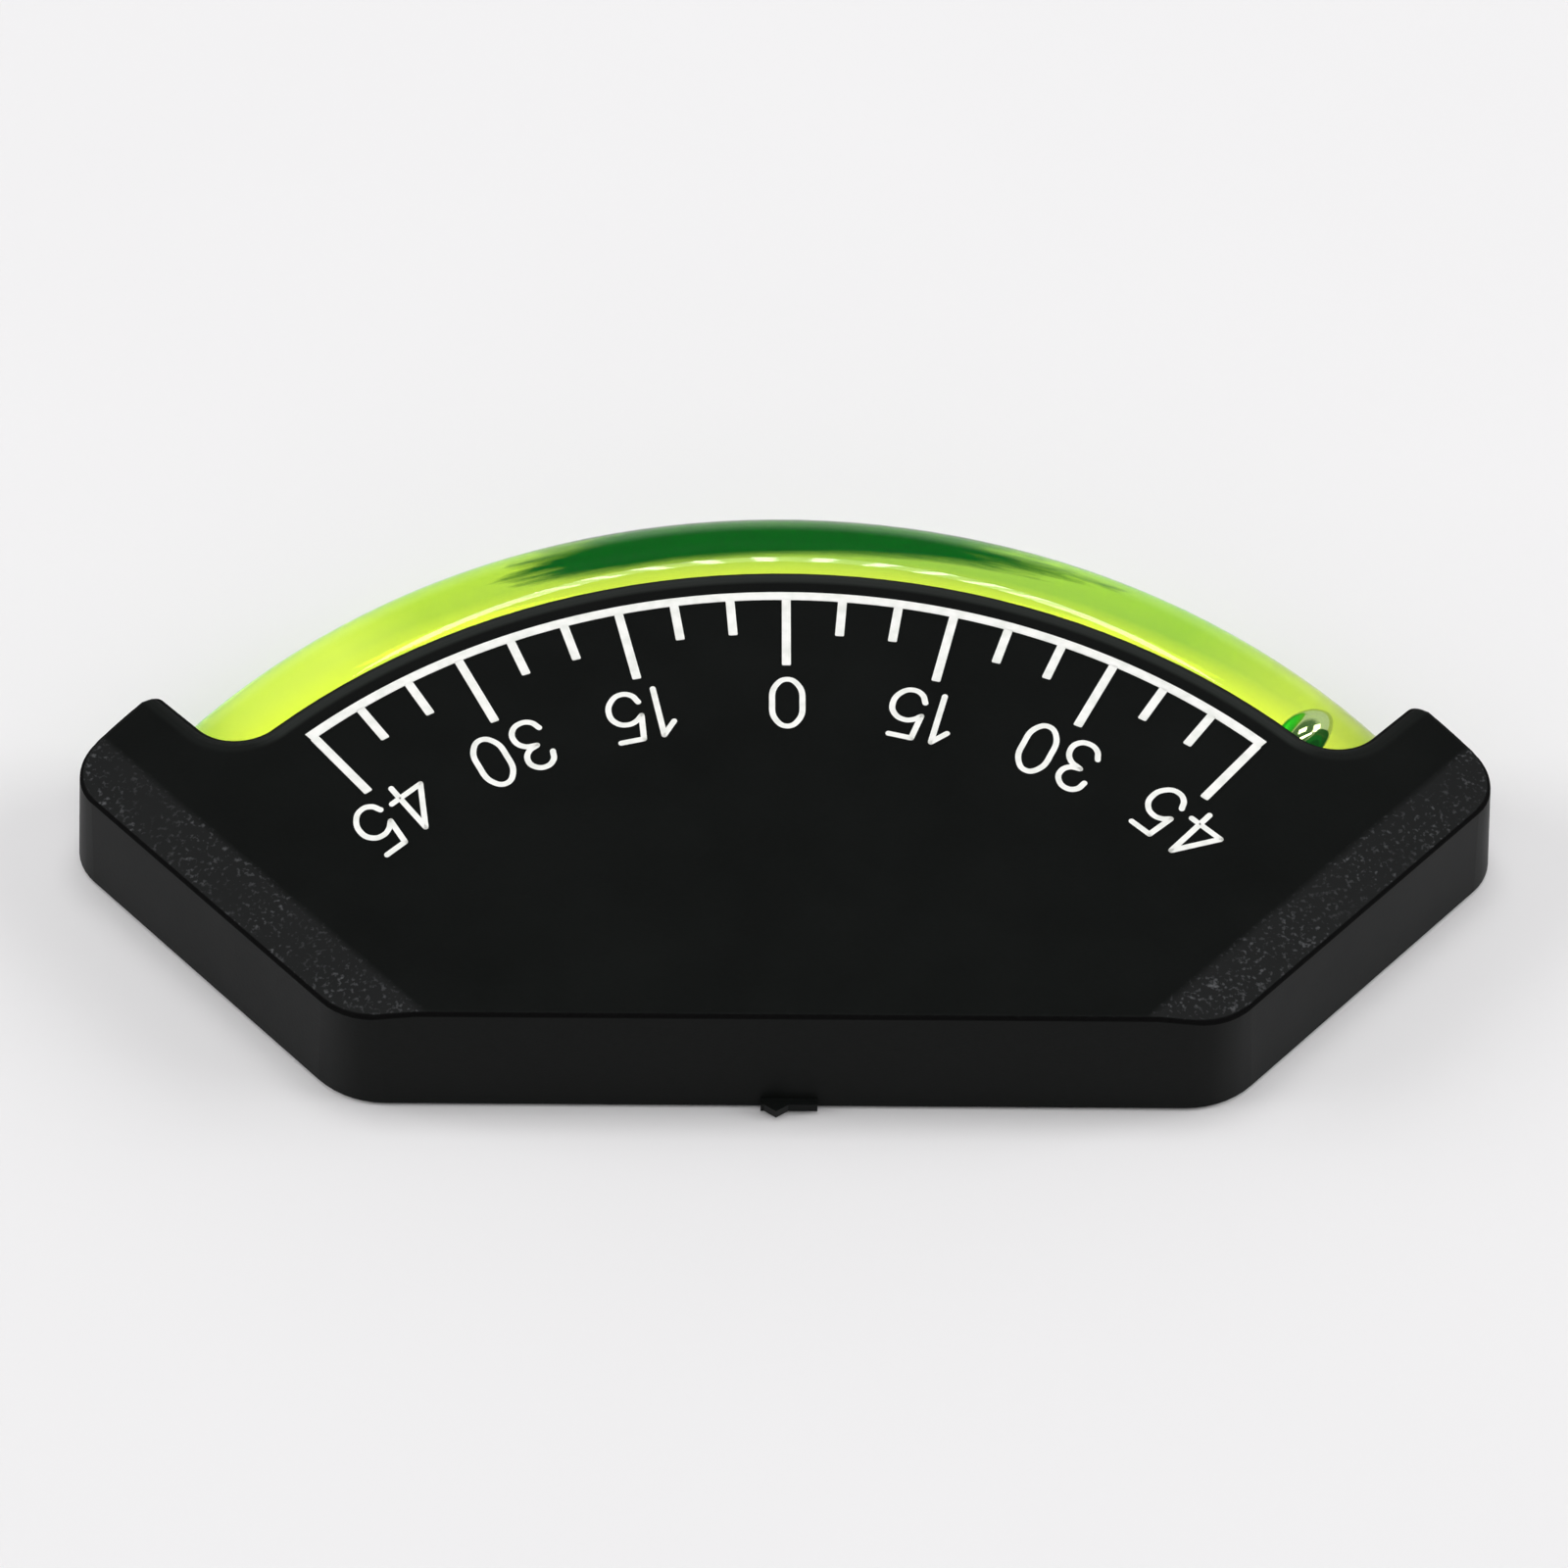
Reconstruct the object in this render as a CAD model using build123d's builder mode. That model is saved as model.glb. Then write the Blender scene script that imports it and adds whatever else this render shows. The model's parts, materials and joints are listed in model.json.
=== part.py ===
from build123d import *
from math import asin, cos, degrees, radians, sin, tan
import os

# Boat clinometer of the ball type, lying on its adhesive back
# Millimetres. The origin is the centre of the mounting pad on the supporting surface, +Z is the face
# normal, +Y points to the curved tube and +X to the right end of the scale.
# Headings are degrees from +Y, clockwise seen from above, as the scale reads them.

# Levels and thicknesses
pad_proud = 0.3             # how far the pad and its liner stand below the housing rim
pad_thickness = 1.0
liner_thickness = 0.1
print_thickness = 0.05

# Scale on the face, in degrees and millimetres
scale_radius = 52.0         # outer edge of the printed arc, the size that the outline follows
scale_line_width = 0.82
scale_limit = 45
tick_step = 5
long_tick_step = 15
tick_width = 0.75
long_tick_length = 7.7      # from the outer edge of the arc
short_tick_length = 4.4

# Face outline, measured on the face from the centre of the scale arc
front_reach = 10.15         # to the straight edge
slant_reach = 15.47         # to each slanted edge, square to it
slant_angle = 45.0          # of the slanted edges to the straight edge
lip_margin = 2.6            # from the scale arc to the lip that follows the tube
horn_reach = 9.2            # how far the two horns that hold the tube stand beyond the lip
horn_heading = 50.4         # where the inner side of each horn starts from the lip
horn_lean = 0.6             # how much nearer to 0 that side ends, in degrees
wall_draft = 7.0
front_corner_radius = 6.0
side_corner_radius = 4.0
horn_tip_length = 1.4       # of the cut corner of each horn, along its end
horn_tip_depth = 0.6        # and along its inner side
notch_radius = 4.0
lip_edge_radius = 1.2
edge_radius = 0.4

# Sloping bands along the two slanted edges
band_width = 3.9
band_slope = 9.0

# Remains of the moulding gate at the foot of the front wall
gate_x = 0.25
gate_width = 4.2
gate_depth = 0.5
gate_height = 0.8
gate_nib_x = -0.7
gate_nib_width = 1.8
gate_nib_depth = 0.6

# Hollow back, open to the rim
face_thickness = 2.0
face_over_tube = 0.9        # left of the face above the tube's seat in the horns
wall = 2.0
arc_wall = 3.8              # behind the tube, where the seat is sunk into the wall
cavity_corner_radius = 2.0
rib_thickness = 1.2
rib_count = 3
rib_spacing = 22.0
rib_clearance = 0.1         # between the ribs and the raised panel of the cover

# Back cover, let into the rim, and the pins that locate it
cover_thickness = 0.9
cover_clearance = 0.1
cover_rim_width = 1.4
cover_arc_inset = 2.2       # from the lip to the cover's edge behind the tube
pin_diameter = 2.0
pin_boss_diameter = 4.6
pin_hole_clearance = 0.1
pin_recess = 0.2            # from the rim to the end of a pin
boss_gap = 0.5              # between a boss and the wall beside it
outer_pin_heading = 50.0

# Adhesive pad and its recess in the cover
pad_length = 50.0
pad_width = 19.0
pad_shift = 2.4             # towards the straight edge, from halfway between that and the lip
pad_margin = 1.0            # room round the pad
pad_corner_radius = 1.5
panel_wall = 1.0            # side wall of the raised panel over the recess

# Curved tube, bent to its own centre, a little beyond the centre of the scale arc
tube_bend_radius = 54.4
tube_standoff = 4.8         # from the lip to the middle of the tube, at 0 on the scale
tube_diameter = 7.5
bore_diameter = 5.4
tube_hold = 5.3             # length of each end that is held in a horn
tube_seat_clearance = 0.1

# End plugs
plug_length = 3.6
plug_head = 0.8
plug_head_diameter = 6.8

# Ball
ball_diameter = 4.0
ball_rest_heading = 48.5    # where it lies in this pose, about the tube's centre
ball_floor_clearance = 0.1

# Levels that follow
rim_z = pad_proud
cover_z = rim_z + cover_thickness
tube_z = cover_z + tube_diameter / 2
face_z = cover_z + tube_diameter + tube_seat_clearance + face_over_tube
housing_height = face_z - rim_z
recess_z = liner_thickness + pad_thickness
panel_z = recess_z + cover_thickness
cavity_z = face_z - face_thickness

# Radii and places that follow
lip_radius = scale_radius + lip_margin
horn_radius = lip_radius + horn_reach
draft_reach = housing_height * tan(radians(wall_draft))
arc_center = Vector(0, -(front_reach + lip_radius) / 2 + pad_shift)
tube_center_offset = lip_radius + tube_standoff - tube_bend_radius
tube_center = Vector(0, arc_center.Y + tube_center_offset)
tube_axis = Axis((tube_center.X, tube_center.Y, 0), (0, 0, 1))
seat_radius = tube_diameter / 2 + tube_seat_clearance

# The tube enters a horn at one heading, ends at the next, and its room ends behind the plug's head
entry_turn = degrees(asin(tube_center_offset * sin(radians(horn_heading)) / tube_bend_radius))
tube_end_heading = horn_heading + entry_turn + degrees(tube_hold / tube_bend_radius)
room_heading = tube_end_heading + degrees((plug_head + tube_seat_clearance) / tube_bend_radius)

# Hollow of the housing, on the level of its ceiling
cavity_inset = wall - face_thickness * tan(radians(wall_draft))
cavity_front = front_reach + cavity_inset
cavity_slant = slant_reach - cavity_inset
cavity_arc = lip_radius - arc_wall

# Recess for the pad, and the rebate for the cover
cover_inset = cover_rim_width - draft_reach
recess_length = pad_length + 2 * pad_margin
recess_width = pad_width + 2 * pad_margin
recess_radius = pad_corner_radius + pad_margin


def heading_point(center, radius, heading):
    """The point at a radius and a heading about a centre."""
    return center + Vector(radius * sin(radians(heading)), radius * cos(radians(heading)))


def heading_arc(center, radius, start, end):
    """An arc about a centre from one heading to another."""
    return CenterArc(center, radius, 90 - start, start - end)


def front_corner(front, slant, side):
    """Where the straight edge meets a slanted one."""
    angle = radians(slant_angle)
    return arc_center + Vector(side * (slant + front * cos(angle)) / sin(angle), front)


def slant_heading(slant, radius):
    """The heading at which a slanted edge meets a circle about the arc centre."""
    return 90 - slant_angle + degrees(asin(slant / radius))


def nearest_corner(sketch, place):
    """The corner of a sketch nearest to a place."""
    return sketch.vertices().sort_by_distance(place)[0]


def plate_outline(inset, lip_inset):
    """The plan form of the housing, drawn in from the face outline, and along the tube by its own inset."""
    front = front_reach + inset
    slant = slant_reach - inset
    outer = horn_radius - inset
    lip = lip_radius - lip_inset
    side_heading = slant_heading(slant, outer)
    tip_heading = horn_heading - horn_lean + degrees(asin(inset / outer))
    tip_start = tip_heading + degrees(horn_tip_length / outer)
    notch_heading = horn_heading + degrees(asin(inset / lip))
    roundings = []
    with BuildSketch() as plate:
        with BuildLine():
            Line(front_corner(front, slant, -1), front_corner(front, slant, 1))
            heading_arc(arc_center, lip, notch_heading, -notch_heading)
            for side in (-1, 1):
                front_point = front_corner(front, slant, side)
                side_point = heading_point(arc_center, outer, side * side_heading)
                tip_point = heading_point(arc_center, outer, side * tip_start)
                inner_point = heading_point(arc_center, outer - horn_tip_depth, side * tip_heading)
                notch_point = heading_point(arc_center, lip, side * notch_heading)
                Line(front_point, side_point)
                heading_arc(arc_center, outer, side * side_heading, side * tip_start)
                Line(tip_point, inner_point)
                Line(inner_point, notch_point)
                roundings.append((front_point, front_corner_radius - inset))
                roundings.append((side_point, side_corner_radius - inset))
                roundings.append((notch_point, notch_radius + inset))
        make_face()
        for place, radius in roundings:
            fillet(nearest_corner(plate, place), radius)
    return plate.sketch


def tube_profile_plane(heading):
    """A plane across the tube at a heading: x is the distance from the tube's centre, y the height."""
    outwards = heading_point(Vector(0, 0), 1, heading)
    return Plane(origin=tube_center, x_dir=outwards, z_dir=outwards.cross(Vector(0, 0, 1)))


def is_lip_edge(edge):
    """Whether a top edge of the housing belongs to the lip, the notches or the inner sides of the horns."""
    reach = (edge.center() - arc_center - Vector(0, 0, face_z)).length
    return lip_radius - lip_edge_radius < reach < horn_radius - max(horn_tip_length, horn_tip_depth)


# Locating pins: one in each side of the hollow and one on each side rib
wall_gap = pin_boss_diameter / 2 + boss_gap
pin_places = []
for side in (-1, 1):
    pin_places.append(heading_point(arc_center, cavity_arc - wall_gap, side * outer_pin_heading))
    pin_places.append(arc_center + Vector(side * rib_spacing, cavity_front + wall_gap))

# Hollow of the housing, with its ribs and pin bosses left standing
cavity_heading = slant_heading(cavity_slant, cavity_arc)

with BuildPart() as cavity:
    with BuildSketch(Plane.XY.offset(cavity_z)) as cavity_outline:
        with BuildLine():
            Line(front_corner(cavity_front, cavity_slant, -1), front_corner(cavity_front, cavity_slant, 1))
            heading_arc(arc_center, cavity_arc, cavity_heading, -cavity_heading)
            for side in (-1, 1):
                end_point = heading_point(arc_center, cavity_arc, side * cavity_heading)
                Line(front_corner(cavity_front, cavity_slant, side), end_point)
        make_face()
        fillet(cavity_outline.vertices(), cavity_corner_radius)
    extrude(amount=cover_z - cavity_z, taper=-wall_draft)
    with BuildSketch(Plane.XY.offset(cavity_z)):
        with Locations(arc_center):
            with GridLocations(rib_spacing, 0, rib_count, 1):
                Rectangle(rib_thickness, 2 * lip_radius)
    extrude(amount=panel_z + rib_clearance - cavity_z, mode=Mode.SUBTRACT)
    with BuildSketch(Plane.XY.offset(cavity_z)):
        with Locations(pin_places):
            Circle(pin_boss_diameter / 2)
    extrude(amount=cover_z - cavity_z, mode=Mode.SUBTRACT)

# Room for the tube: a round seat, open to the back so that the tube goes in from behind
with BuildPart() as tube_room:
    with BuildSketch(tube_profile_plane(-room_heading)):
        with Locations((tube_bend_radius, tube_z)):
            Circle(seat_radius)
        with Locations((tube_bend_radius, (tube_z + rim_z) / 2)):
            Rectangle(2 * seat_radius, tube_z - rim_z)
    revolve(axis=tube_axis, revolution_arc=-2 * room_heading)

# Housing, one black moulding: face, drafted walls, horns, sloping bands, hollow back
with BuildPart() as housing:
    with BuildSketch(Plane.XY.offset(face_z)):
        add(plate_outline(0, 0))
    extrude(amount=-housing_height, taper=-wall_draft)
    for side in (-1, 1):
        slant_normal = Vector(side * sin(radians(slant_angle)), -cos(radians(slant_angle)))
        band_normal = slant_normal * sin(radians(band_slope)) + Vector(0, 0, cos(radians(band_slope)))
        band_start = arc_center + slant_normal * (slant_reach - band_width) + Vector(0, 0, face_z)
        split(bisect_by=Plane(origin=band_start, z_dir=band_normal), keep=Keep.BOTTOM)

    # The top edges are barely broken, but well rounded on the lip and inside the horns
    top_edges = housing.edges().filter_by(lambda edge: edge.bounding_box().min.Z > face_z - face_thickness)
    outer_places = [edge.center() for edge in top_edges if not is_lip_edge(edge)]
    fillet(top_edges.filter_by(is_lip_edge), lip_edge_radius)
    fillet([housing.edges().sort_by_distance(place)[0] for place in outer_places], edge_radius)

    # Cut out from behind: the hollow, the room for the tube and the rebate for the cover
    add(cavity.part, mode=Mode.SUBTRACT)
    add(tube_room.part, mode=Mode.SUBTRACT)
    with BuildSketch(Plane.XY.offset(rim_z)):
        add(plate_outline(cover_inset, cover_arc_inset))
    extrude(amount=cover_thickness, mode=Mode.SUBTRACT)

    # Pins on the bosses, through the cover
    with BuildSketch(Plane.XY.offset(rim_z + pin_recess)):
        with Locations(pin_places):
            Circle(pin_diameter / 2)
    extrude(amount=cover_z - rim_z - pin_recess)

    # Stub of the moulding gate, with the nib where it was snapped off
    foot_y = arc_center.Y + front_reach - draft_reach
    with BuildSketch(Plane.XY.offset(rim_z)):
        with Locations((gate_x, foot_y)):
            Rectangle(gate_width, 2 * gate_depth)
        with Locations((gate_nib_x, foot_y - gate_depth)):
            Polygon((-gate_nib_width / 2, 0), (0, -gate_nib_depth), (gate_nib_width / 2, 0), align=None)
    extrude(amount=gate_height)

# Back cover with the recess for the adhesive pad, raised on the inside
with BuildPart() as back_cover:
    with BuildSketch(Plane.XY.offset(rim_z)):
        add(plate_outline(cover_inset + cover_clearance, cover_arc_inset + cover_clearance))
    extrude(amount=cover_thickness)
    with BuildSketch(Plane.XY.offset(rim_z)):
        panel_radius = recess_radius + panel_wall
        RectangleRounded(recess_length + 2 * panel_wall, recess_width + 2 * panel_wall, panel_radius)
    extrude(amount=panel_z - rim_z)
    with BuildSketch(Plane.XY.offset(rim_z)):
        RectangleRounded(recess_length, recess_width, recess_radius)
    extrude(amount=recess_z - rim_z, mode=Mode.SUBTRACT)
    with Locations(Plane.XY.offset(cover_z)):
        with Locations(pin_places):
            Hole(pin_diameter / 2 + pin_hole_clearance)

# Bent tube of clear plastic
with BuildPart() as tube:
    with BuildSketch(tube_profile_plane(-tube_end_heading)):
        with Locations((tube_bend_radius, tube_z)):
            Circle(tube_diameter / 2)
            Circle(bore_diameter / 2, mode=Mode.SUBTRACT)
    revolve(axis=tube_axis, revolution_arc=-2 * tube_end_heading)


def end_plug(side):
    """A stopper in one end of the tube: a stem that fills the bore and a head over the tube's end."""
    stem_turn = degrees(plug_length / tube_bend_radius)
    with BuildPart() as plug:
        with BuildSketch(tube_profile_plane(side * (tube_end_heading - stem_turn))):
            with Locations((tube_bend_radius, tube_z)):
                Circle(bore_diameter / 2)
        revolve(axis=tube_axis, revolution_arc=-side * stem_turn)
        with BuildSketch(tube_profile_plane(side * tube_end_heading)):
            with Locations((tube_bend_radius, tube_z)):
                Circle(plug_head_diameter / 2)
        extrude(amount=side * plug_head)
    return plug


end_plug_left = end_plug(-1)
end_plug_right = end_plug(1)

# Steel ball, resting on the floor of the bore near the right end of the scale
ball_z = tube_z - bore_diameter / 2 + ball_diameter / 2 + ball_floor_clearance
ball_place = heading_point(tube_center, tube_bend_radius, ball_rest_heading)

with BuildPart() as ball:
    with Locations((ball_place.X, ball_place.Y, ball_z)):
        Sphere(ball_diameter / 2)

# White printing on the face: the arc and its nineteen ticks
line_radius = scale_radius - scale_line_width / 2
line_heading = scale_limit + degrees(tick_width / 2 / line_radius)

with BuildPart() as scale_print:
    with BuildSketch(Plane.XY.offset(face_z)):
        with BuildLine():
            heading_arc(arc_center, line_radius, line_heading, -line_heading)
        trace(line_width=scale_line_width)
        for heading in range(-scale_limit, scale_limit + 1, tick_step):
            inner = scale_radius - (short_tick_length if heading % long_tick_step else long_tick_length)
            tick_center = heading_point(arc_center, (inner + line_radius) / 2, heading)
            with Locations(Location(tick_center, -heading)):
                Rectangle(tick_width, line_radius - inner)
    extrude(amount=print_thickness)

# Foam pad with adhesive on both sides, and the film that covers it until the gauge is fixed
with BuildPart() as mounting_pad:
    with BuildSketch(Plane.XY.offset(liner_thickness)):
        RectangleRounded(pad_length, pad_width, pad_corner_radius)
    extrude(amount=pad_thickness)

with BuildPart() as release_liner:
    with BuildSketch():
        RectangleRounded(pad_length, pad_width, pad_corner_radius)
    extrude(amount=liner_thickness)

os.makedirs("parts", exist_ok=True)
for name, piece in (
    ("housing", housing),
    ("back_cover", back_cover),
    ("tube", tube),
    ("end_plug_left", end_plug_left),
    ("end_plug_right", end_plug_right),
    ("ball", ball),
    ("scale_print", scale_print),
    ("mounting_pad", mounting_pad),
    ("release_liner", release_liner),
):
    piece.part.label = name
    export_step(piece.part, f"parts/{name}.step")
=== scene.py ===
import json
import math

import bpy
from bpy.props import FloatProperty, FloatVectorProperty, PointerProperty
from mathutils import Matrix, Vector


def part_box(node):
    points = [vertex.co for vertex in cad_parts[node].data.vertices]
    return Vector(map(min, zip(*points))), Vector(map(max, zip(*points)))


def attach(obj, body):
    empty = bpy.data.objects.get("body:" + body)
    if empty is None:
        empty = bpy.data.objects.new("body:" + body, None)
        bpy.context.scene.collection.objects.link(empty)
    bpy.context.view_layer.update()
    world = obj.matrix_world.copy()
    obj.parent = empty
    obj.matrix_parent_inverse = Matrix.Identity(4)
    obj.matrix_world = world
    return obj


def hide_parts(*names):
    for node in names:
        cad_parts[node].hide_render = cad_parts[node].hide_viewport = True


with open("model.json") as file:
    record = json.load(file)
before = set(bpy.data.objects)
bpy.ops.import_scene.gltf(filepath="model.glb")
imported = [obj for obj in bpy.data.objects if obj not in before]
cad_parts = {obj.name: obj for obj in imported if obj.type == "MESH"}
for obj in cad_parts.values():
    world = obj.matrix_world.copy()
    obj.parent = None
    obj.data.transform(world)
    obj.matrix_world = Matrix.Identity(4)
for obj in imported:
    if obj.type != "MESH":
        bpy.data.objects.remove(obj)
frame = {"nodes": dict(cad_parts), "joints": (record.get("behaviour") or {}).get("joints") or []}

bl_info = {
    "name": "Boat clinometer",
    "version": (1, 0, 0),
    "blender": (4, 5, 0),
    "location": "View3D > Sidebar > Clinometer",
    "description": "Dresses the packed clinometer: plastics, tube, liquid, ball, printing and studio",
    "category": "Object",
}

MM = 0.001
SHARP_ANGLE = math.radians(40)
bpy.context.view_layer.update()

# How finely the liquid and the arc are cut, round them and along them
LIQUID_SIDES, LIQUID_STEPS, ARC_STEPS = 64, 160, 90

# The tube is bent about the ball's hinge, and the top of the printing is that of its arc
TUBE_LOW, TUBE_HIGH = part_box("tube")
PRINT_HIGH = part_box("scale_print")[1]
TUBE_RADIUS = (TUBE_HIGH.z - TUBE_LOW.z) / 2
TUBE_CENTER = Vector((frame["joints"][0]["pos_m"][0], frame["joints"][0]["pos_m"][1], TUBE_LOW.z + TUBE_RADIUS))
BEND_RADIUS = TUBE_HIGH.y - TUBE_RADIUS - TUBE_CENTER.y
FACE_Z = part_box("scale_print")[0].z
SCALE_RADIUS = 52 * MM
ARC_CENTER = Vector((0, PRINT_HIGH.y - SCALE_RADIUS, FACE_Z))

# Centre lines of the numerals' strokes, as parts of their height, from the lower left corner. Only the 0 is closed
NUMERAL_STROKES = {
    "0": [[(0.253, 1), (0.44, 0.87), (0.505, 0.5), (0.44, 0.13), (0.253, 0), (0.066, 0.13), (0, 0.5), (0.066, 0.87)]],
    "1": [[(0, 0.755), (0.215, 1)], [(0.215, 1), (0.215, 0)]],
    "3": [
        [(0.01, 0.765), (0.08, 0.93), (0.25, 1), (0.415, 0.915), (0.465, 0.755), (0.37, 0.59), (0.19, 0.535)],
        [(0.19, 0.535), (0.4, 0.455), (0.49, 0.265), (0.42, 0.07), (0.245, 0), (0.08, 0.065), (0, 0.225)],
    ],
    "4": [[(0.62, 0.255), (0, 0.255)], [(0, 0.255), (0.445, 1)], [(0.445, 1), (0.445, 0)]],
    "5": [
        [(0.44, 1), (0.055, 1)],
        [(0.055, 1), (0, 0.51)],
        [(0, 0.51), (0.12, 0.615), (0.26, 0.65), (0.43, 0.58), (0.525, 0.37)]
        + [(0.43, 0.09), (0.255, 0), (0.09, 0.06), (0, 0.22)],
    ],
}

# A tick stands every 5 degrees and a long one every 15, and each runs a little way into the arc
TICK_STEP, LONG_STEP = 5, 15
TICK_LAP = 0.06 * MM

# Each label: its tick's heading, the distance of its foot from the arc's centre in millimetres, its height as a share
# of the numerals', its slant to the right in degrees, and each digit with the place of its left side along the line,
# in millimetres from the tick
LABELS = [
    (-45, 43.35, 1.0, 8.0, (("4", -3.12), ("5", 0.75))),
    (-30, 43.15, 1.04, 3.2, (("3", -2.45), ("0", 0.95))),
    (-15, 42.97, 1.04, 3.2, (("1", -1.8), ("5", 0.55))),
    (0, 42.8, 1.04, 0.0, (("0", -1.23),)),
    (15, 42.9, 1.04, -0.5, (("1", -2.18), ("5", 0.12))),
    (30, 43.1, 1.04, -5.5, (("3", -3.05), ("0", 0.4))),
    (45, 43.33, 1.0, -3.0, (("4", -3.85), ("5", 0.16))),
]


def linear(hex_code):
    """The linear colour, with alpha 1, of an sRGB hex value."""
    parts = [int(hex_code[i : i + 2], 16) / 255 for i in (1, 3, 5)]
    return tuple(c / 12.92 if c <= 0.04045 else ((c + 0.055) / 1.055) ** 2.4 for c in parts) + (1,)


def paler(colour, share):
    """A colour times a share, with alpha 1."""
    return tuple(share * c for c in colour[:3]) + (1,)


def rising(low, high):
    """Map Range settings that give 0 below the low value and 1 above the high one."""
    return {"From Min": low, "From Max": high, "To Min": 0.0, "To Max": 1.0}


def falling(low, high):
    """Map Range settings that give 1 below the low value and 0 above the high one."""
    return {"From Min": low, "From Max": high, "To Min": 1.0, "To Max": 0.0}


def add_node(tree, kind, settings=None, links=None, output=0):
    """Adds a node, sets its own settings, its sockets' values or its colour ramp's stops, links other nodes' outputs
    to its inputs, and returns one of its outputs."""
    node = tree.nodes.new(kind)
    for key, value in (settings or {}).items():
        if key == "stops":
            stops = node.color_ramp.elements
            for i, (position, colour) in enumerate(value):
                stop = stops[i] if i < 2 else stops.new(position)
                stop.position = position
                stop.color = colour
        elif hasattr(node, str(key)):
            setattr(node, key, value)
        else:
            node.inputs[key].default_value = value
    for key, socket in (links or {}).items():
        tree.links.new(socket, node.inputs[key])
    return node.outputs[output] if node.outputs else None


def new_material(name):
    """An empty node material and its tree."""
    material = bpy.data.materials.new(name)
    material.use_nodes = True
    material.node_tree.nodes.clear()
    return material, material.node_tree


def mottled(name, colours, patch, grain, relief, finish):
    """A material whose colour varies in patches and whose relief is a grain, with the strength and depth given."""
    material, tree = new_material(name)
    place = add_node(tree, "ShaderNodeTexCoord", output="Object")
    patches = add_node(tree, "ShaderNodeTexNoise", {"Scale": 1 / patch, "Detail": 3}, {"Vector": place})
    colour = add_node(tree, "ShaderNodeValToRGB", {"stops": colours}, {"Fac": patches})
    pits = add_node(tree, "ShaderNodeTexNoise", {"Scale": 1 / grain, "Detail": 3}, {"Vector": place})
    bump = add_node(tree, "ShaderNodeBump", {"Strength": relief[0], "Distance": relief[1]}, {"Height": pits})
    shader = add_node(tree, "ShaderNodeBsdfPrincipled", finish, {"Base Color": colour, "Normal": bump})
    add_node(tree, "ShaderNodeOutputMaterial", links={"Surface": shader})
    return material


def dress(piece, material):
    """Gives a piece its one material."""
    piece.data.materials.clear()
    piece.data.materials.append(material)


def select_only(piece):
    """Leaves one piece selected and active, in object mode."""
    bpy.ops.object.select_all(action="DESELECT")
    piece.select_set(True)
    bpy.context.view_layer.objects.active = piece


def joined(name, parts):
    """The parts as one piece, smooth but for its sharp edges."""
    select_only(parts[0])
    for part in parts:
        part.select_set(True)
    if len(parts) > 1:
        bpy.ops.object.join()
    piece = bpy.context.active_object
    piece.name = name
    bpy.ops.object.shade_smooth_by_angle(angle=SHARP_ANGLE)
    return piece


def spin_round(steps, angle, centre):
    """Spins the active piece, a flat profile, about an upright line into a closed solid."""
    bpy.ops.object.transform_apply(location=True, rotation=True, scale=True)
    bpy.ops.object.mode_set(mode="EDIT")
    bpy.ops.mesh.select_all(action="SELECT")
    bpy.ops.mesh.spin(steps=steps, angle=angle, center=centre, axis=(0, 0, 1))
    bpy.ops.mesh.select_all(action="SELECT")
    bpy.ops.mesh.remove_doubles(threshold=0.001 * MM)
    bpy.ops.mesh.normals_make_consistent(inside=False)
    bpy.ops.object.mode_set(mode="OBJECT")


# Moulded plastics


def moulded_surface(tree, place, colour):
    """The colour, roughness and relief of black ABS from a spark-eroded mould: faintly cloudy over 9 mm, with pits of
    0.22 mm, about twice as wide as the real ones, so that they show."""
    cloud = add_node(
        tree, "ShaderNodeTexNoise", {"Scale": 1 / (9 * MM), "Detail": 2, "Roughness": 0.6}, {"Vector": place}
    )
    coat = add_node(tree, "ShaderNodeValToRGB", {"stops": [(0.3, colour), (0.75, paler(colour, 1.25))]}, {"Fac": cloud})
    rough = add_node(tree, "ShaderNodeMapRange", {"To Min": 0.42, "To Max": 0.56}, {"Value": cloud})
    pits = add_node(
        tree, "ShaderNodeTexNoise", {"Scale": 1 / (0.22 * MM), "Detail": 3, "Roughness": 0.6}, {"Vector": place}
    )
    relief = add_node(tree, "ShaderNodeBump", {"Strength": 0.25, "Distance": 0.04 * MM}, {"Height": pits})
    return coat, rough, relief


def satin_black_abs(settings):
    """Black ABS, injection moulded: satin and faintly cloudy, without anything more, as a hidden cover has."""
    material, tree = new_material("black_abs_satin")
    place = add_node(tree, "ShaderNodeTexCoord", output="Object")
    coat, rough, relief = moulded_surface(tree, place, settings.cover_colour)
    shader = add_node(
        tree,
        "ShaderNodeBsdfPrincipled",
        {"Specular IOR Level": 0.25, "IOR": 1.5},
        {"Base Color": coat, "Roughness": rough, "Normal": relief},
    )
    add_node(tree, "ShaderNodeOutputMaterial", links={"Surface": shader})
    return material


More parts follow.
